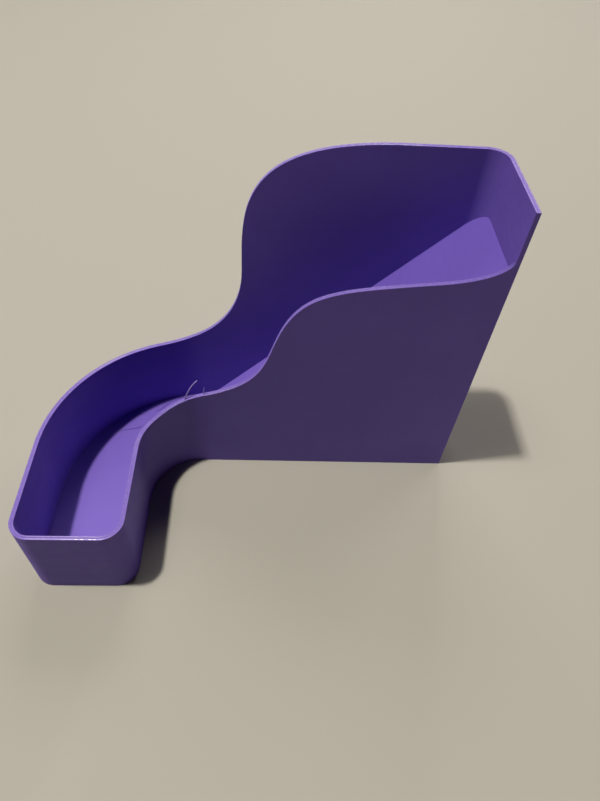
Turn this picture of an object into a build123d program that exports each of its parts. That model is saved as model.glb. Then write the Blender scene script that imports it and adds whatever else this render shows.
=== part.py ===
from build123d import *
from math import sqrt
import os

# Wave slide, made as one 3-D print: a tall open hopper with a steep slide in it, a quarter
# bend and a low open tray. The channel is the same width all the way along. Each printed zone
# (a wall, a floor, the slide's skin, the infill) is its own solid, and they meet face to face.
#
# Sizes are millimetres. The origin is the middle of the overall box, at the bottom. +X points
# from the tray towards the hopper's rear wall, +Y towards the hopper's far wall, +Z up.

# ---- Driving dimensions ----
channel_width = 54.0  # outside width of the hopper, the bend and the tray
wall = 2.2  # thickness of every wall and floor
hopper_length = 149.0  # outside of the rear wall to the start of the bend
tray_length = 54.0  # end of the bend to the outside of the front wall
bend_inside_radius = 28.0  # outer face of the wall on the inside of the bend
corner_radius = 11.0  # outside of the three rounded upright corners
hopper_height = 181.0
tray_height = 51.4
slide_height = 149.4  # where the slide's surface meets the rear wall
slide_inset = 1.9  # start of the bend to the slide's foot, on the floor
infill_wall = 0.8
infill_pitch = 12.0  # between parallel walls of the infill
infill_gap = 3.0  # height of the infill's low end, behind the slide's foot

# ---- Wave rims ----
# Each rim is a chain of Bezier curves. A point is (distance in front of the rear face, height).
far_rim = [
    [(47, 181), (125.5, 181), (125.5, 148), (125.5, 107)],  # crest, rolling over to upright
    [(125.5, 107), (125.5, 70), (152, 51.4), (175, 51.4)],  # trough, running out into the bend
]
near_rim = [
    [(2.2, 156), (2.2, 153), (8.2, 145.7), (31.2, 142.6)],  # down the rear wall
    [(31.2, 142.6), (82.5, 135.7), (96.8, 136), (107.3, 100.4)],  # shoulder
    [(107.3, 100.4), (111.2, 87.3), (114.4, 75.2), (130.1, 67)],  # foot of the steep stretch
    [(130.1, 67), (139.4, 62.1), (144.1, 61.4), (146, 60.7)],
    [(146, 60.7), (159.2, 55.8), (167.8, 51.4), (173, 51.4)],  # running out into the bend
]

# ---- Derived places ----
bend_outside_radius = bend_inside_radius + channel_width
overall_length = hopper_length + bend_outside_radius
overall_depth = channel_width + bend_inside_radius + tray_length

rear_x = overall_length / 2
rear_inner_x = rear_x - wall
front_x = -rear_x
far_y = overall_depth / 2
front_y = -far_y
near_y = far_y - channel_width  # outer face of the hopper's near wall
tray_x = front_x + channel_width  # outer face of the tray's right wall
bend_x = rear_x - hopper_length  # the bend's centre
bend_y = near_y - bend_inside_radius

slide_x = bend_x + slide_inset
slide_slope = (slide_height - wall) / (rear_inner_x - slide_x)  # a little over 45 degrees
skin_drop = wall * sqrt(1 + slide_slope**2)  # the slide's skin, measured straight down
skin_foot_x = slide_x + skin_drop / slide_slope
infill_foot_x = skin_foot_x + infill_gap / slide_slope

hopper_mid_x = (bend_x + rear_x) / 2
hopper_mid_y = (near_y + far_y) / 2
tray_mid_x = (front_x + tray_x) / 2
tray_mid_y = (front_y + bend_y) / 2

wall_plane = Plane.XY.offset(wall)  # every wall stands on the floor
bend_start_plane = Plane((bend_x, bend_y, 0), x_dir=(0, 1, 0), z_dir=(1, 0, 0))
bend_axis = Axis((bend_x, bend_y, 0), (0, 0, 1))

os.makedirs("parts", exist_ok=True)


# ---- Shared outlines ----
def below_rim(rim):
    """The side view of everything below a rim, over the whole length of the object."""
    with BuildSketch(Plane.XZ) as profile:
        with BuildLine():
            curves = [Bezier(*[(rear_x - back, height) for back, height in points]) for points in rim]
            high_end = curves[0] @ 0
            low_end = curves[-1] @ 1
            Polyline(
                high_end,
                (rear_x, high_end.Y),
                (rear_x, 0),
                (front_x, 0),
                (front_x, tray_height),
                low_end,
            )
        make_face()
    return profile.sketch


def below_slide(low_x, low_height, drop):
    """The side view of what lies under the slide, from a low end at low_x to the rear wall."""
    with BuildSketch(Plane.XZ) as profile:
        with BuildLine():
            Polyline(
                (low_x, wall),
                (rear_inner_x, wall),
                (rear_inner_x, slide_height - drop),
                (low_x, low_height),
                close=True,
            )
        make_face()
    return profile.sketch


def hopper_plan(plane, inset, rear, corner):
    """The hopper's plan from the bend to a rear face, inset at its sides, one corner rounded."""
    with BuildSketch(plane) as plan:
        with Locations(((bend_x + rear) / 2, hopper_mid_y)):
            Rectangle(rear - bend_x, channel_width - 2 * inset)
        rear_corners = plan.vertices().group_by(Axis.X)[-1]
        fillet(rear_corners.sort_by(Axis.Y)[-1], corner)
    return plan.sketch


far_profile = below_rim(far_rim)
near_profile = below_rim(near_rim)

# ---- Floor: three plates, edge to edge ----
with BuildPart() as hopper_floor:
    extrude(hopper_plan(Plane.XY, 0, rear_x, corner_radius), amount=wall)
hopper_floor.part.label = "hopper_floor"
export_step(hopper_floor.part, "parts/hopper_floor.step")

with BuildPart() as bend_floor:
    with BuildSketch(bend_start_plane):
        with Locations((bend_inside_radius, 0)):
            Rectangle(channel_width, wall, align=Align.MIN)
    revolve(axis=bend_axis, revolution_arc=90)
bend_floor.part.label = "bend_floor"
export_step(bend_floor.part, "parts/bend_floor.step")

with BuildPart() as tray_floor:
    with BuildSketch(Plane.XY) as tray_plan:
        with Locations((tray_mid_x, tray_mid_y)):
            Rectangle(channel_width, tray_length)
        fillet(tray_plan.vertices().group_by(Axis.Y)[0], corner_radius)
    extrude(amount=wall)
tray_floor.part.label = "tray_floor"
export_step(tray_floor.part, "parts/tray_floor.step")

# ---- Hopper: rear wall with its rounded corner, and two side walls with wave rims ----
with BuildPart() as rear_wall:
    with BuildSketch(wall_plane):
        with BuildLine() as rear_path:
            upright = Line((rear_x, near_y), (rear_x, far_y - corner_radius))
            JernArc(upright @ 1, upright % 1, corner_radius, 90)
            offset(rear_path.line, amount=wall, side=Side.LEFT)
        make_face()
    extrude(amount=hopper_height - wall)
rear_wall.part.label = "rear_wall"
export_step(rear_wall.part, "parts/rear_wall.step")

with BuildPart() as hopper_far_wall:
    with BuildSketch(wall_plane):
        with Locations((bend_x, far_y)):
            Rectangle(hopper_length - corner_radius, wall, align=(Align.MIN, Align.MAX))
    extrude(amount=hopper_height - wall)
    extrude(far_profile, amount=overall_depth, both=True, mode=Mode.INTERSECT)
hopper_far_wall.part.label = "hopper_far_wall"
export_step(hopper_far_wall.part, "parts/hopper_far_wall.step")

with BuildPart() as hopper_near_wall:
    with BuildSketch(wall_plane):
        with Locations((bend_x, near_y)):
            Rectangle(hopper_length - wall, wall, align=Align.MIN)
    extrude(amount=hopper_height - wall)
    extrude(near_profile, amount=overall_depth, both=True, mode=Mode.INTERSECT)
hopper_near_wall.part.label = "hopper_near_wall"
export_step(hopper_near_wall.part, "parts/hopper_near_wall.step")

# ---- Slide: a sloping skin between the hopper's walls, and the infill that carries it ----
with BuildPart() as slide_skin:
    extrude(hopper_plan(wall_plane, wall, rear_inner_x, corner_radius - wall), amount=slide_height)
    extrude(below_slide(slide_x, wall, 0), amount=overall_depth, both=True, mode=Mode.INTERSECT)
    extrude(
        below_slide(skin_foot_x, wall, skin_drop),
        amount=overall_depth,
        both=True,
        mode=Mode.SUBTRACT,
    )
slide_skin.part.label = "slide_skin"
export_step(slide_skin.part, "parts/slide_skin.step")

with BuildPart() as infill_lattice:
    line_step = infill_pitch * sqrt(2)
    line_count = int(hopper_length / line_step) + 2
    with BuildSketch(wall_plane):
        for angle in (45, -45):
            with Locations((hopper_mid_x, hopper_mid_y)):
                with GridLocations(line_step, 0, line_count, 1):
                    Rectangle(2 * channel_width, infill_wall, rotation=angle)
    extrude(amount=slide_height)
    extrude(
        hopper_plan(wall_plane, wall, rear_inner_x, corner_radius - wall),
        amount=slide_height,
        mode=Mode.INTERSECT,
    )
    extrude(
        below_slide(infill_foot_x, wall + infill_gap, skin_drop),
        amount=overall_depth,
        both=True,
        mode=Mode.INTERSECT,
    )
infill_lattice.part.label = "infill_lattice"
export_step(infill_lattice.part, "parts/infill_lattice.step")

# ---- Bend: two round walls that take the waves down to the tray's level rim ----
with BuildPart() as bend_outer_wall:
    with BuildSketch(bend_start_plane):
        with Locations((bend_outside_radius, wall)):
            Rectangle(wall, hopper_height - wall, align=(Align.MAX, Align.MIN))
    revolve(axis=bend_axis, revolution_arc=90)
    extrude(far_profile, amount=overall_depth, both=True, mode=Mode.INTERSECT)
bend_outer_wall.part.label = "bend_outer_wall"
export_step(bend_outer_wall.part, "parts/bend_outer_wall.step")

with BuildPart() as bend_inner_wall:
    with BuildSketch(bend_start_plane):
        with Locations((bend_inside_radius, wall)):
            Rectangle(wall, hopper_height - wall, align=Align.MIN)
    revolve(axis=bend_axis, revolution_arc=90)
    extrude(near_profile, amount=overall_depth, both=True, mode=Mode.INTERSECT)
bend_inner_wall.part.label = "bend_inner_wall"
export_step(bend_inner_wall.part, "parts/bend_inner_wall.step")

# ---- Tray: two straight walls and a front wall with its two rounded corners ----
side_wall_length = tray_length - corner_radius

with BuildPart() as tray_left_wall:
    with BuildSketch(wall_plane):
        with Locations((front_x, bend_y)):
            Rectangle(wall, side_wall_length, align=(Align.MIN, Align.MAX))
    extrude(amount=tray_height - wall)
tray_left_wall.part.label = "tray_left_wall"
export_step(tray_left_wall.part, "parts/tray_left_wall.step")

with BuildPart() as tray_right_wall:
    with BuildSketch(wall_plane):
        with Locations((tray_x, bend_y)):
            Rectangle(wall, side_wall_length, align=Align.MAX)
    extrude(amount=tray_height - wall)
tray_right_wall.part.label = "tray_right_wall"
export_step(tray_right_wall.part, "parts/tray_right_wall.step")

with BuildPart() as tray_front_wall:
    with BuildSketch(wall_plane):
        with BuildLine() as front_path:
            left = JernArc((front_x, front_y + corner_radius), (0, -1), corner_radius, 90)
            front = Line(left @ 1, (tray_x - corner_radius, front_y))
            JernArc(front @ 1, front % 1, corner_radius, 90)
            offset(front_path.line, amount=wall, side=Side.LEFT)
        make_face()
    extrude(amount=tray_height - wall)
tray_front_wall.part.label = "tray_front_wall"
export_step(tray_front_wall.part, "parts/tray_front_wall.step")
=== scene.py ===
import math

import bpy
import numpy as np
from mathutils import Matrix, Vector


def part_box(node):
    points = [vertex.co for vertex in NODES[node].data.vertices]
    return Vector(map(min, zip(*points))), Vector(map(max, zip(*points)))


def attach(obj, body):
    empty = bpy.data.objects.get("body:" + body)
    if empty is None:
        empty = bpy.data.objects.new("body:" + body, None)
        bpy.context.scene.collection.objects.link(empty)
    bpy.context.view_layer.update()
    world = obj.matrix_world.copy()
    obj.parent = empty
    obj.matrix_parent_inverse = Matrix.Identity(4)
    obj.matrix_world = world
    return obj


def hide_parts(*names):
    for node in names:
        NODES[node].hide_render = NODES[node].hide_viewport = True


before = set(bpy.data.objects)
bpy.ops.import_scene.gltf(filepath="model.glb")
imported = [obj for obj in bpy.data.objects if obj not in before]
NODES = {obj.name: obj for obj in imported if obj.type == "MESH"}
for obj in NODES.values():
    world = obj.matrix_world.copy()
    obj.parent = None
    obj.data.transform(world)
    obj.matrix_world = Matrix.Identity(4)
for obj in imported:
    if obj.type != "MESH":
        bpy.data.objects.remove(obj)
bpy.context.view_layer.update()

# The wave slide is one 3-D print. Each CAD node is shown by a piece of the same place and size,
# built layer by layer as a printer lays it down, so rims and the slide climb in real steps.
# Everything is in metres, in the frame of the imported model.

MM = 0.001

# ---- The print ----
LAYER = 0.2 * MM
BEAD = 0.02 * MM  # how far the middle of a layer bulges past the joint between two layers
STEP_ROUNDING = 0.25 * LAYER  # the rounded edge of each of the slide's steps
LINE = 0.44 * MM  # width of one extruded line; a wall is two lines each side of a filled gap
ZIGZAG = 1.0 * MM  # length of one zigzag of the gap's filling
QUARTER = ZIGZAG / 4
LINE_GROOVE = 0.05 * MM  # depth of the groove between two lines
GAP_GROOVE = 0.15 * MM  # depth of the gap where its filling leaves it open

# ---- How finely it is built ----
ARC_STEP = 3 * MM  # the longest flat stretch of a round wall
WALL_TURN = 4  # degrees, the most that a round wall turns from one flat stretch to the next
PLATE_TURN = 3  # degrees, the same for the outline of a floor plate
FEWEST_STRETCHES = 8  # of any round wall
SHARP_EDGE = math.radians(15)  # edges that bend more than this are shaded as sharp
PROBES = 700  # places where a rim's height is read along a wall
PROBE_INSET = 0.02 * MM  # from a wall's ends to the first and the last of those places
PROBE_HEIGHT = 10 * MM  # above a wall's highest place, where the reading starts
CLEAR = 0.01 * MM  # least distance between a mark of the zigzag and a column
SAME = 1e-7  # distances along a wall that differ by less than this are one
ROUNDING = 1e-9  # a distance's rounding error
DIGITS = 9  # decimal places that a column's distance is rounded to
GRID = 1e8  # steps a metre of the grid that tells one vertex from another

# ---- Places, all read from the frame ----
far_low, far_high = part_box("hopper_far_wall")
near_low, near_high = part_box("hopper_near_wall")
rear_low, rear_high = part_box("rear_wall")
bend_low, bend_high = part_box("bend_outer_wall")
inner_low, inner_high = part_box("bend_inner_wall")
front_low, front_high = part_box("tray_front_wall")
left_low, left_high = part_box("tray_left_wall")
right_low, right_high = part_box("tray_right_wall")
slide_low, slide_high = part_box("slide_skin")
floor_low, floor_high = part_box("hopper_floor")
tray_low, tray_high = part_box("tray_floor")

WALL = far_high.y - far_low.y
FLOOR_TOP = tray_high.z
BEND_CENTRE = np.array((bend_high.x, bend_low.y))
BEND_OUTSIDE = bend_high.x - bend_low.x
BEND_INSIDE = inner_high.x - inner_low.x - WALL
CORNER = rear_high.x - rear_low.x


# ---- A wall's route: its middle line in plan ----
def straight(start, end):
    """A straight stretch: its length, a place at each distance, and where it needs columns."""
    start = np.array(start, float)
    end = np.array(end, float)
    length = float(np.linalg.norm(end - start))
    along = (end - start) / length
    left = np.array((-along[1], along[0]))

    def at(distance):
        return start + along * distance, left

    return length, at, [0.0, length]


def bow(centre, radius, start, turn):
    """A round stretch about a centre, from a start angle through a turn, in degrees."""
    length = radius * math.radians(abs(turn))
    by_length = math.ceil(length / ARC_STEP)
    by_turn = math.ceil(abs(turn) / WALL_TURN)
    count = max(FEWEST_STRETCHES, by_length, by_turn)

    def at(distance):
        angle = math.radians(start + turn * distance / length)
        outward = np.array((math.cos(angle), math.sin(angle)))
        return np.array(centre) + radius * outward, -outward if turn > 0 else outward

    return length, at, [length * i / count for i in range(count + 1)]


def route(*stretches):
    """Several stretches end to end, as one."""
    starts = [0.0]
    for length, _, _ in stretches:
        starts.append(starts[-1] + length)

    def at(distance):
        i = max(j for j in range(len(stretches)) if starts[j] <= distance + ROUNDING)
        return stretches[i][1](distance - starts[i])

    columns = set()
    for start, (_, _, own_columns) in zip(starts, stretches):
        columns.update(round(start + column, DIGITS) for column in own_columns)
    return starts[-1], at, sorted(columns)


# ---- Meshes ----
def piece(name, vertices, faces, node, materials, worn=None):
    """A shown piece that stands for a CAD node, or for none if node is None. Where a face wears
    another material than the first, worn gives the number of each face's material."""
    mesh = bpy.data.meshes.new(name)
    mesh.from_pydata(vertices, [], faces)
    for material in materials:
        mesh.materials.append(material)
    if worn is not None:
        mesh.polygons.foreach_set("material_index", worn)
    mesh.validate()
    mesh.polygons.foreach_set("use_smooth", [True] * len(mesh.polygons))
    mesh.set_sharp_from_angle(angle=SHARP_EDGE)
    made = bpy.data.objects.new(name, mesh)
    bpy.context.scene.collection.objects.link(made)
    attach(made, "root")
    if node is not None:
        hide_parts(node)
    return made


# ---- A wall, layer by layer ----
def rim_heights(node, length, at):
    """The height of a CAD wall's rim at even distances along its route. It never rises."""
    distances = np.linspace(0, length, PROBES)
    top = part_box(node)[1].z
    down = Vector((0, 0, -1))
    heights = []
    for distance in np.clip(distances, PROBE_INSET, length - PROBE_INSET):
        place, _ = at(distance)
        hit, point, _, _ = NODES[node].ray_cast(Vector((*place, top + PROBE_HEIGHT)), down)
        heights.append(point.z if hit else top)
    return distances, np.minimum.accumulate(heights)


def layer_ends(node, length, at):
    """A wall's lowest layer, and the distance where each layer from there up ends. A layer goes
    as far as the rim is above its middle. The last distance is 0, for no layer."""
    distances, heights = rim_heights(node, length, at)
    first = round(FLOOR_TOP / LAYER)
    last = math.floor(heights[0] / LAYER + 0.5)
    ends = []
    for k in range(first, last):
        middle = (k + 0.5) * LAYER
        n = int((heights >= middle).sum())
        if n == 0:
            ends.append(0.0)
        elif n == PROBES:
            ends.append(length)
        else:
            fall = max(heights[n - 1] - heights[n], ROUNDING)
            share = min((heights[n - 1] - middle) / fall, 1)
            ends.append(distances[n - 1] + share * (distances[n] - distances[n - 1]))
    return first, ends + [0.0]


def crown(quarter):
    """Points across a bare layer top from the left: how far from the middle, and how deep.
    The lines' backs are highest. The gap's filling crosses it from side to side and back, so
    the quarter of a zigzag says where its ridge is."""
    half = WALL / 2
    lines = [(half - LINE / 2, 0), (half - LINE, LINE_GROOVE), (half - 1.5 * LINE, 0)]
    left = 0 if quarter == 0 else GAP_GROOVE
    middle = 0 if quarter in (1, 3) else GAP_GROOVE
    right = 0 if quarter == 2 else GAP_GROOVE
    edge = half - 2 * LINE
    mirrored = [(-offset, drop) for offset, drop in reversed(lines)]
    return lines + [(edge, left), (0.0, middle), (-edge, right)] + mirrored


def columns_before(columns, end):
    """The columns of a wall that stand before an end, and a last one at the end itself."""
    return [column for column in columns if column < end - SAME] + [end]


def bare_columns(here, above, end):
    """The columns that the upper edge of a layer needs if its top is bare from above to its end:
    its own, the end of the layer above, and the zigzag's marks that stand clear of them."""
    count = math.floor(end / QUARTER)
    marks = [i * QUARTER for i in range(count + 1)]
    marks = [mark for mark in marks if above + CLEAR < mark < end - CLEAR]
    marks = [mark for mark in marks if all(abs(column - mark) > CLEAR for column in here)]
    covered = {above} if above > 0 else set()
    return sorted({*here, *covered, *marks})


class WallMesh:
    """Gathers the mesh of a wall. A level is a height in half layers. A side is 1 at the left of
    the route and -1 at its right. A distance is along the route."""

    # The second material gives the bare tops a lighter colour: a painted highlight.
    PRINTED, BARE = 0, 1  # numbers of the materials

    def __init__(self, at):
        self.at = at
        self.vertices = []
        self.found = {}
        self.faces = []
        self.worn = []

    def add(self, distance, offset, height):
        place, left = self.at(distance)
        x, y = place + left * offset
        self.vertices.append((x, y, height))
        return len(self.vertices) - 1

    def vertex(self, level, side, distance):
        key = level, side, round(distance * GRID)
        if key not in self.found:
            half = WALL / 2 - (BEAD if level % 2 == 0 else 0)
            self.found[key] = self.add(distance, side * half, level * LAYER / 2)
        return self.found[key]

    def straight_across(self, level, distance):
        """The vertices of the left and the right side."""
        return [self.vertex(level, 1, distance), self.vertex(level, -1, distance)]

    def bare_across(self, level, distance):
        """The vertices across a bare top, from the left side to the right side."""
        key = level, "crown", round(distance * GRID)
        if key not in self.found:
            quarter = round(distance / QUARTER) % 4
            self.found[key] = [
                self.add(distance, offset, level * LAYER / 2 - drop)
                for offset, drop in crown(quarter)
            ]
        left, right = self.straight_across(level, distance)
        return [left, *self.found[key], right]

    def across(self, level, distance, bare):
        if bare:
            return self.bare_across(level, distance)
        return self.straight_across(level, distance)

    def face(self, corners, side, number=PRINTED):
        self.faces.append(corners if side > 0 else corners[::-1])
        self.worn.append(number)

    def base(self, level, columns):
        for a, b in zip(columns, columns[1:]):
            corners = [(1, a), (1, b), (-1, b), (-1, a)]
            self.face([self.vertex(level, side, distance) for side, distance in corners], 1)

    def flanks(self, level, lower, upper):
        """The left and the right of a layer that starts at a level, in a lower and an upper half.
        Its columns are lower, and its upper edge has those in upper too."""
        middle, top = level + 1, level + 2
        for side in (1, -1):
            for a, b in zip(lower, lower[1:]):
                half = [(level, b), (level, a), (middle, a), (middle, b)]
                self.face([self.vertex(height, side, column) for height, column in half], side)
                half = [(middle, b), (middle, a)] + [(top, c) for c in upper if a <= c <= b]
                self.face([self.vertex(height, side, column) for height, column in half], side)

    def end(self, level, distance, side, bare_foot, bare_crest):
        """The face across an end of a layer. It follows the crown of a bare top that it meets."""
        foot = self.across(level, distance, bare_foot)
        middle = self.straight_across(level + 1, distance)
        crest = self.across(level + 2, distance, bare_crest)
        self.face(middle + foot[::-1], side)
        self.face(crest + middle[::-1], side)

    def bare_top(self, level, columns):
        for a, b in zip(columns, columns[1:]):
            here = self.bare_across(level, a)
            beyond = self.bare_across(level, b)
            for i in range(len(here) - 1):
                corners = [here[i], beyond[i], beyond[i + 1], here[i + 1]]
                self.face(corners, -1, self.BARE)


def layered_wall(node, way, materials):
    """A wall along a route, built of layers, each as long as the rim lets it be.
    The rim falls or stays level along the route, so each layer starts at the route's start.
    The bare tops of the layers wear the second material, whose lighter colour is a painted
    highlight."""
    length, at, columns = way
    first, ends = layer_ends(node, length, at)
    wall = WallMesh(at)
    bare_below = False
    for row, (end, above) in enumerate(zip(ends, ends[1:])):
        if end <= 0:
            break
        level = 2 * (first + row)
        lower = columns_before(columns, end)
        bare = above < end - SAME
        upper = bare_columns(lower, above, end) if bare else lower
        wall.flanks(level, lower, upper)
        wall.end(level, end, 1, bare_below, bare)
        wall.end(level, 0.0, -1, False, bare and above <= 0)
        if bare:
            wall.bare_top(level + 2, [column for column in upper if column >= above - SAME])
        bare_below = bare
    wall.base(2 * first, columns_before(columns, ends[0]))
    return piece(node + "_print", wall.vertices, wall.faces, node, materials, wall.worn)


# ---- A floor plate, layer by layer ----
def rounded(centre, radius, start, turn=90):
    """Points of a rounded corner in an outline, each with its outward direction."""
    points = []
    count = math.ceil(turn / PLATE_TURN)
    for i in range(count + 1):
        angle = math.radians(start + turn * i / count)
        out = (math.cos(angle), math.sin(angle))
        points.append((centre[0] + radius * out[0], centre[1] + radius * out[1], *out))
    return points


def layered_plate(node, outline, material):
    """A level plate with an outline of (x, y, outward x, outward y), anticlockwise."""
    levels = round(FLOOR_TOP / LAYER) * 2
    vertices, faces = [], []
    count = len(outline)
    for level in range(levels + 1):
        inset = BEAD if level % 2 == 0 else 0
        for x, y, out_x, out_y in outline:
            vertices.append((x - inset * out_x, y - inset * out_y, level * LAYER / 2))
    for level in range(levels):
        for i in range(count):
            j = (i + 1) % count
            a, b = level * count, (level + 1) * count
            faces.append((a + i, a + j, b + j, b + i))
    faces.append(tuple(range(count))[::-1])
    faces.append(tuple(levels * count + i for i in range(count)))
    return piece(node + "_print", vertices, faces, node, [material])


# ---- The slide, layer by layer ----
def layered_slide(node, material):
    """The steep skin, whose upper face climbs one layer at a time. Its edge on the far side
    follows the rounded corner of the rear wall."""
    inner_corner = CORNER - WALL
    corner_x = slide_high.x - inner_corner
    count = round((slide_high.z - slide_low.z) / LAYER)
    run = (slide_high.x - slide_low.x) / count  # how far each layer stands back from the last
    drop = WALL * math.hypot(1, LAYER / run)  # the skin, measured straight down
    vertices, found, faces = [], {}, []

    def far_edge(x):
        into = max(0.0, x - corner_x)
        return slide_high.y - inner_corner + math.sqrt(max(inner_corner**2 - into**2, 0))

    def pair(x, z):
        """The near and the far vertex at a place in the side view."""
        key = round(x * GRID), round(z * GRID)
        if key not in found:
            found[key] = len(vertices), len(vertices) + 1
            vertices.extend([(x, slide_low.y, z), (x, far_edge(x), z)])
        return found[key]

    def strip(*places):
        """Faces from the near to the far side along a line in the side view."""
        pairs = [pair(*place) for place in places]
        for a, b in zip(pairs, pairs[1:]):
            if a != b:
                faces.append((a[0], a[1], b[1], b[0]))

    def sides(*places):
        """The near and the far face between the skin's two surfaces."""
        pairs = list(dict.fromkeys(pair(*place) for place in places))
        faces.append([near for near, _ in pairs])
        faces.append([far for _, far in pairs][::-1])

    for k in range(count):
        x, z = slide_low.x + k * run, slide_low.z + k * LAYER
        next_x, next_z = x + run, z + LAYER
        under = max(slide_low.z, z - drop)
        next_under = max(slide_low.z, next_z - drop)
        tread = [(next_x, next_z), (x + STEP_ROUNDING, next_z)]
        riser = [(x, next_z - STEP_ROUNDING), (x, z)]
        strip(*tread, *riser)
        strip((x, under), (next_x, next_under))
        sides((x, under), (next_x, next_under), *tread, *riser)
    strip((slide_high.x, slide_high.z - drop), (slide_high.x, slide_high.z))
    return piece(node + "_print", vertices, faces, node, [material])


# ---- A hair of plastic ----
HAIR_STEPS = 16  # along it
HAIR_SIDES = 8
HAIR_TAPER = 0.3  # share of its thickness that it loses before its point
ASKEW = Vector((0.3, 0.9, 0.3))  # no hair runs this way, so every hair has a side from it


def bezier(t, handles):
    """The point at t, from 0 to 1, on the Bezier curve with these handles."""
    order = len(handles) - 1
    weights = [math.comb(order, i) * t**i * (1 - t) ** (order - i) for i in range(order + 1)]
    return Vector(np.array(weights) @ handles)


def hair(name, origin, points, thickness, material):
    """A fine string of plastic along a smooth curve from its root to its point. The curve's
    handles are millimetres from the origin."""
    handles = np.array([tuple(origin + Vector(point) * MM) for point in points])
    headings = handles[1:] - handles[:-1]
    vertices, faces = [], []
    for i in range(HAIR_STEPS):
        t = i / HAIR_STEPS
        centre = bezier(t, handles)
        along = bezier(t, headings).normalized()
        across = along.cross(ASKEW).normalized()
        for j in range(HAIR_SIDES):
            angle = 2 * math.pi * j / HAIR_SIDES
            around = across * math.cos(angle) + along.cross(across) * math.sin(angle)
            vertices.append(centre + around * thickness / 2 * (1 - HAIR_TAPER * t))
    vertices.append(Vector(handles[-1]))
    faces.append(tuple(range(HAIR_SIDES))[::-1])
    for i in range(HAIR_STEPS - 1):
        for j in range(HAIR_SIDES):
            a = i * HAIR_SIDES + j
            b = i * HAIR_SIDES + (j + 1) % HAIR_SIDES
            faces.append((a, b, b + HAIR_SIDES, a + HAIR_SIDES))
    last = (HAIR_STEPS - 1) * HAIR_SIDES
    for j in range(HAIR_SIDES):
        faces.append((last + j, last + (j + 1) % HAIR_SIDES, HAIR_STEPS * HAIR_SIDES))
    return piece(name, vertices, faces, None, [material])


# ---- Materials ----
REFRACTION = 1.36
SPREAD = (0.3, 0.7)  # the part of a noise that is spread over the whole range
CLOUDS = 22  # slow changes of colour, a metre
BANDS = (4, 4, 900)  # a metre each way, so the bands lie level as layers do
BAND_SHADE = 0.975
FINISH_STRETCH = (1, 1, 3)
GRAIN = 1300  # a metre
GRAIN_DEPTH = 0.03 * MM
GRAIN_STRENGTH = 0.7


def plastic(name, dark, light, smooth, rough, patches=140):
    """Blue-violet printed plastic, satin, with faint bands of layers, from a dark to a light
    colour and from a smooth to a rough finish. The finish changes in so many patches a metre."""
    material = bpy.data.materials.new(name)
    material.use_nodes = True
    nodes = material.node_tree.nodes
    link = material.node_tree.links.new
    shader = nodes["Principled BSDF"]
    shader.inputs["IOR"].default_value = REFRACTION
    place = nodes.new("ShaderNodeTexCoord").outputs["Object"]

    def noise(scale, detail, stretch=(1, 1, 1)):
        mapping = nodes.new("ShaderNodeMapping")
        mapping.inputs["Scale"].default_value = stretch
        texture = nodes.new("ShaderNodeTexNoise")
        texture.inputs["Scale"].default_value = scale
        texture.inputs["Detail"].default_value = detail
        link(place, mapping.inputs["Vector"])
        link(mapping.outputs["Vector"], texture.inputs["Vector"])
        return texture.outputs["Fac"]

    def ramp(value, low, high):
        """Spreads the middle of a noise between two colours."""
        made = nodes.new("ShaderNodeValToRGB")
        for element, position, colour in zip(made.color_ramp.elements, SPREAD, (low, high)):
            element.position = position
            element.color = (*colour, 1)
        link(value, made.inputs["Fac"])
        return made.outputs["Color"]

    clouds = ramp(noise(CLOUDS, detail=3), dark, light)
    bands = ramp(noise(1, detail=2, stretch=BANDS), [BAND_SHADE] * 3, [1] * 3)
    tint = nodes.new("ShaderNodeMix")
    tint.data_type = "RGBA"
    tint.blend_type = "MULTIPLY"
    tint.inputs["Factor"].default_value = 1.0
    link(clouds, tint.inputs["A"])
    link(bands, tint.inputs["B"])
    link(tint.outputs["Result"], shader.inputs["Base Color"])

    finish = noise(patches, detail=4, stretch=FINISH_STRETCH)
    link(ramp(finish, [smooth] * 3, [rough] * 3), shader.inputs["Roughness"])

    bump = nodes.new("ShaderNodeBump")
    bump.inputs["Distance"].default_value = GRAIN_DEPTH
    bump.inputs["Strength"].default_value = GRAIN_STRENGTH
    link(noise(GRAIN, detail=3), bump.inputs["Height"])
    link(bump.outputs["Normal"], shader.inputs["Normal"])
    return material


PRINT_LOOK = dict(
    dark=(0.140, 0.085, 0.465),
    light=(0.155, 0.095, 0.505),
    smooth=0.40,
    rough=0.52,
)
# The bare tops' lighter colour is a painted highlight, where the rims catch the light; their
# lower roughness is the glossier top of the print.
BARE_TOP_PAINTED_HIGHLIGHT_LOOK = dict(
    dark=(0.175, 0.115, 0.490),
    light=(0.205, 0.140, 0.530),
    smooth=0.10,
    rough=0.42,
    patches=700,
)
STRING_LOOK = dict(
    dark=(0.330, 0.250, 0.660),
    light=(0.360, 0.280, 0.700),
    smooth=0.25,
    rough=0.38,
)

purple = plastic("purple_print", **PRINT_LOOK)
bare_tops_painted_highlight = plastic("purple_bare_tops_painted_highlight", **BARE_TOP_PAINTED_HIGHLIGHT_LOOK)
string = plastic("purple_string", **STRING_LOOK)
hidden = plastic("purple_infill_print", **PRINT_LOOK)
wall_materials = [purple, bare_tops_painted_highlight]

# The infill stays as the CAD made it, and only wears a material.
NODES["infill_lattice"].data.materials.clear()
NODES["infill_lattice"].data.materials.append(hidden)

# ---- Walls ----
far_mid = far_high.y - WALL / 2
near_mid = near_low.y + WALL / 2
rear_mid = rear_high.x - WALL / 2
left_mid = left_low.x + WALL / 2
right_mid = right_high.x - WALL / 2
front_mid = front_low.y + WALL / 2
corner_mid = CORNER - WALL / 2
rear_corner = (rear_high.x - CORNER, far_high.y - CORNER)
left_corner = (front_low.x + CORNER, front_high.y)
right_corner = (front_high.x - CORNER, front_high.y)

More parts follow.
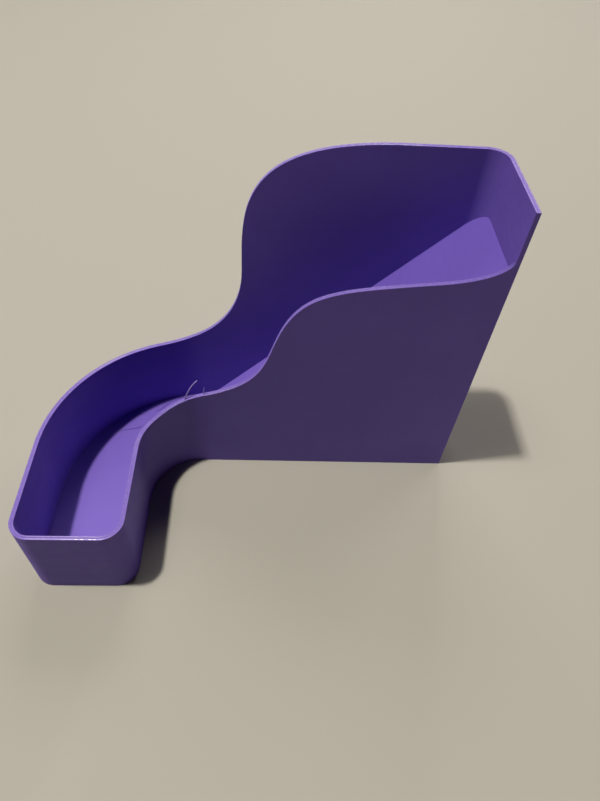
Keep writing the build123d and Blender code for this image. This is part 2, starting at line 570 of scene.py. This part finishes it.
WALL_ROUTES = {
    "rear_wall": route(
        straight((rear_mid, rear_low.y), (rear_mid, rear_corner[1])),
        bow(rear_corner, corner_mid, 0, 90),
    ),
    "hopper_far_wall": route(straight((far_high.x, far_mid), (far_low.x, far_mid))),
    "hopper_near_wall": route(straight((near_high.x, near_mid), (near_low.x, near_mid))),
    "bend_outer_wall": route(bow(BEND_CENTRE, BEND_OUTSIDE - WALL / 2, 90, 90)),
    "bend_inner_wall": route(bow(BEND_CENTRE, BEND_INSIDE + WALL / 2, 90, 90)),
    "tray_left_wall": route(straight((left_mid, left_high.y), (left_mid, left_low.y))),
    "tray_right_wall": route(straight((right_mid, right_high.y), (right_mid, right_low.y))),
    "tray_front_wall": route(
        bow(left_corner, corner_mid, 180, 90),
        straight((left_corner[0], front_mid), (right_corner[0], front_mid)),
        bow(right_corner, corner_mid, 270, 90),
    ),
}
for node, way in WALL_ROUTES.items():
    layered_wall(node, way, wall_materials)

# ---- Floors, and the slide ----
bend_inside_edge = [
    (x, y, -out_x, -out_y)
    for x, y, out_x, out_y in reversed(rounded(BEND_CENTRE, BEND_INSIDE, 90))
]
PLATE_OUTLINES = {
    "hopper_floor": [
        (floor_low.x, floor_low.y, 0, -1),
        (floor_high.x, floor_low.y, 1, -1),
        *rounded(rear_corner, CORNER, 0),
        (floor_low.x, floor_high.y, 0, 1),
    ],
    "tray_floor": [
        (tray_low.x, tray_high.y, -1, 0),
        *rounded((tray_low.x + CORNER, tray_low.y + CORNER), CORNER, 180),
        *rounded((tray_high.x - CORNER, tray_low.y + CORNER), CORNER, 270),
        (tray_high.x, tray_high.y, 1, 0),
    ],
    "bend_floor": [*rounded(BEND_CENTRE, BEND_OUTSIDE, 90), *bend_inside_edge],
}
for node, outline in PLATE_OUTLINES.items():
    layered_plate(node, outline, purple)
layered_slide("slide_skin", purple)

# ---- Hairs of plastic, pulled by the nozzle, where the bend starts ----
bend_start = Vector((BEND_CENTRE[0], near_low.y, 0))  # at the near wall's outer face
bend_middle = Vector((*BEND_CENTRE, FLOOR_TOP))
hair(
    "rim_whisker",
    bend_start,
    [(-6.4, 0.9, 56.8), (-4.5, 1.0, 62.3), (-1.9, 2.1, 68.1), (1.2, 4.2, 68.9)],
    thickness=0.7 * MM,
    material=string,
)
hair(
    "rim_whisker_short",
    bend_start,
    [(4.4, 1.2, 60.5), (4.0, 1.2, 64.0), (5.0, 1.6, 66.2)],
    thickness=0.5 * MM,
    material=string,
)
hair(
    "floor_hair_long",
    bend_middle,
    [(-59.0, 46.6, 0.1), (-50.0, 48.5, 0.3), (-44.0, 48.9, 0.3), (-39.4, 51.6, 0.2)],
    thickness=0.4 * MM,
    material=purple,
)
hair(
    "floor_hair_short",
    bend_middle,
    [(-32.8, 64.1, 0.1), (-29.5, 66.0, 0.3), (-25.9, 71.2, 0.2)],
    thickness=0.4 * MM,
    material=purple,
)

# ---- The studio's floor ----
FLOOR_HALF = 3.0  # half the length of its side
FLOOR_COLOUR = (0.335, 0.315, 0.322, 1)
FLOOR_ROUGHNESS = 0.75


def studio_floor():
    """The plain pale floor that the slide stands on."""
    mesh = bpy.data.meshes.new("studio_floor")
    signs = ((-1, -1), (1, -1), (1, 1), (-1, 1))
    corners = [(x * FLOOR_HALF, y * FLOOR_HALF, 0) for x, y in signs]
    mesh.from_pydata(corners, [], [(0, 1, 2, 3)])
    ground = bpy.data.objects.new("studio_floor", mesh)
    bpy.context.scene.collection.objects.link(ground)
    material = bpy.data.materials.new("pale_floor")
    material.use_nodes = True
    shader = material.node_tree.nodes["Principled BSDF"]
    shader.inputs["Base Color"].default_value = FLOOR_COLOUR
    shader.inputs["Roughness"].default_value = FLOOR_ROUGHNESS
    mesh.materials.append(material)


studio_floor()

# ---- Lights ----
WARM = (1.0, 0.975, 0.765)
PALE = (1.0, 0.96, 0.82)


def lamp(name, azimuth, elevation, distance, size, power, colour):
    """A square soft light that looks at the object. Azimuth 0 is towards +X, 90 towards +Y."""
    light = bpy.data.lights.new(name, "AREA")
    light.size = size
    light.energy = power
    light.color = colour
    made = bpy.data.objects.new(name, light)
    flat = math.cos(math.radians(elevation)) * distance
    made.location = (
        flat * math.cos(math.radians(azimuth)),
        flat * math.sin(math.radians(azimuth)),
        math.sin(math.radians(elevation)) * distance,
    )
    made.rotation_euler = (-made.location).to_track_quat("-Z", "Y").to_euler()
    bpy.context.scene.collection.objects.link(made)


# The key is a small high lamp, placed so that the shadows fall as in the photograph.
lamp("key", azimuth=186, elevation=75, distance=3.0, size=0.13, power=89, colour=WARM)
lamp("key_halo", azimuth=186, elevation=72, distance=3.0, size=0.6, power=14, colour=WARM)
lamp("back", azimuth=90, elevation=45, distance=2.0, size=0.8, power=11.0, colour=PALE)
lamp("low_back", azimuth=45, elevation=25, distance=2.0, size=0.8, power=4.5, colour=PALE)
lamp("glint", azimuth=76, elevation=26, distance=2.0, size=0.12, power=3.0, colour=PALE)
lamp("right_back", azimuth=45, elevation=45, distance=2.0, size=0.8, power=3.5, colour=PALE)

# ---- Backdrop: a soft grey near the horizon, and dark overhead, where the lights are ----
# Each is the height of a direction, 0 being level and 1 straight up, and its colour.
HORIZON = (0.12, (0.07, 0.067, 0.062, 1))
OVERHEAD = (0.5, (0.005, 0.005, 0.005, 1))


def backdrop():
    world = bpy.data.worlds.new("studio")
    world.use_nodes = True
    nodes = world.node_tree.nodes
    link = world.node_tree.links.new
    direction = nodes.new("ShaderNodeTexCoord").outputs["Generated"]
    split = nodes.new("ShaderNodeSeparateXYZ")
    fade = nodes.new("ShaderNodeValToRGB")
    for element, (position, colour) in zip(fade.color_ramp.elements, (HORIZON, OVERHEAD)):
        element.position = position
        element.color = colour
    link(direction, split.inputs["Vector"])
    link(split.outputs["Z"], fade.inputs["Fac"])
    link(fade.outputs["Color"], nodes["Background"].inputs["Color"])
    bpy.context.scene.world = world


backdrop()
bpy.context.scene.view_settings.view_transform = "Standard"

# ---- Camera ----
CAMERA_SENSOR = 36  # millimetres, as is the lens
CAMERA_LENS = 27.08
CAMERA_OFFSET = Vector((-110.6, -214.9, 313.6)) * MM  # from the hopper's bottom near corner
CAMERA_TURN = -5.0  # degrees, as are the next two
CAMERA_DOWN = 49.72  # below level
CAMERA_ROLL = 5.15


def turned(degrees, axis):
    return Matrix.Rotation(math.radians(degrees), 4, axis)


def photographers_camera():
    """The camera where the photograph was taken."""
    data = bpy.data.cameras.new("camera")
    data.sensor_width = CAMERA_SENSOR
    data.lens = CAMERA_LENS
    camera = bpy.data.objects.new("camera", data)
    place = Vector((rear_high.x, near_low.y, 0)) + CAMERA_OFFSET
    turn = turned(CAMERA_TURN, "Z") @ turned(90 - CAMERA_DOWN, "X") @ turned(CAMERA_ROLL, "Z")
    camera.matrix_world = Matrix.Translation(place) @ turn
    bpy.context.scene.collection.objects.link(camera)
    bpy.context.scene.camera = camera


photographers_camera()
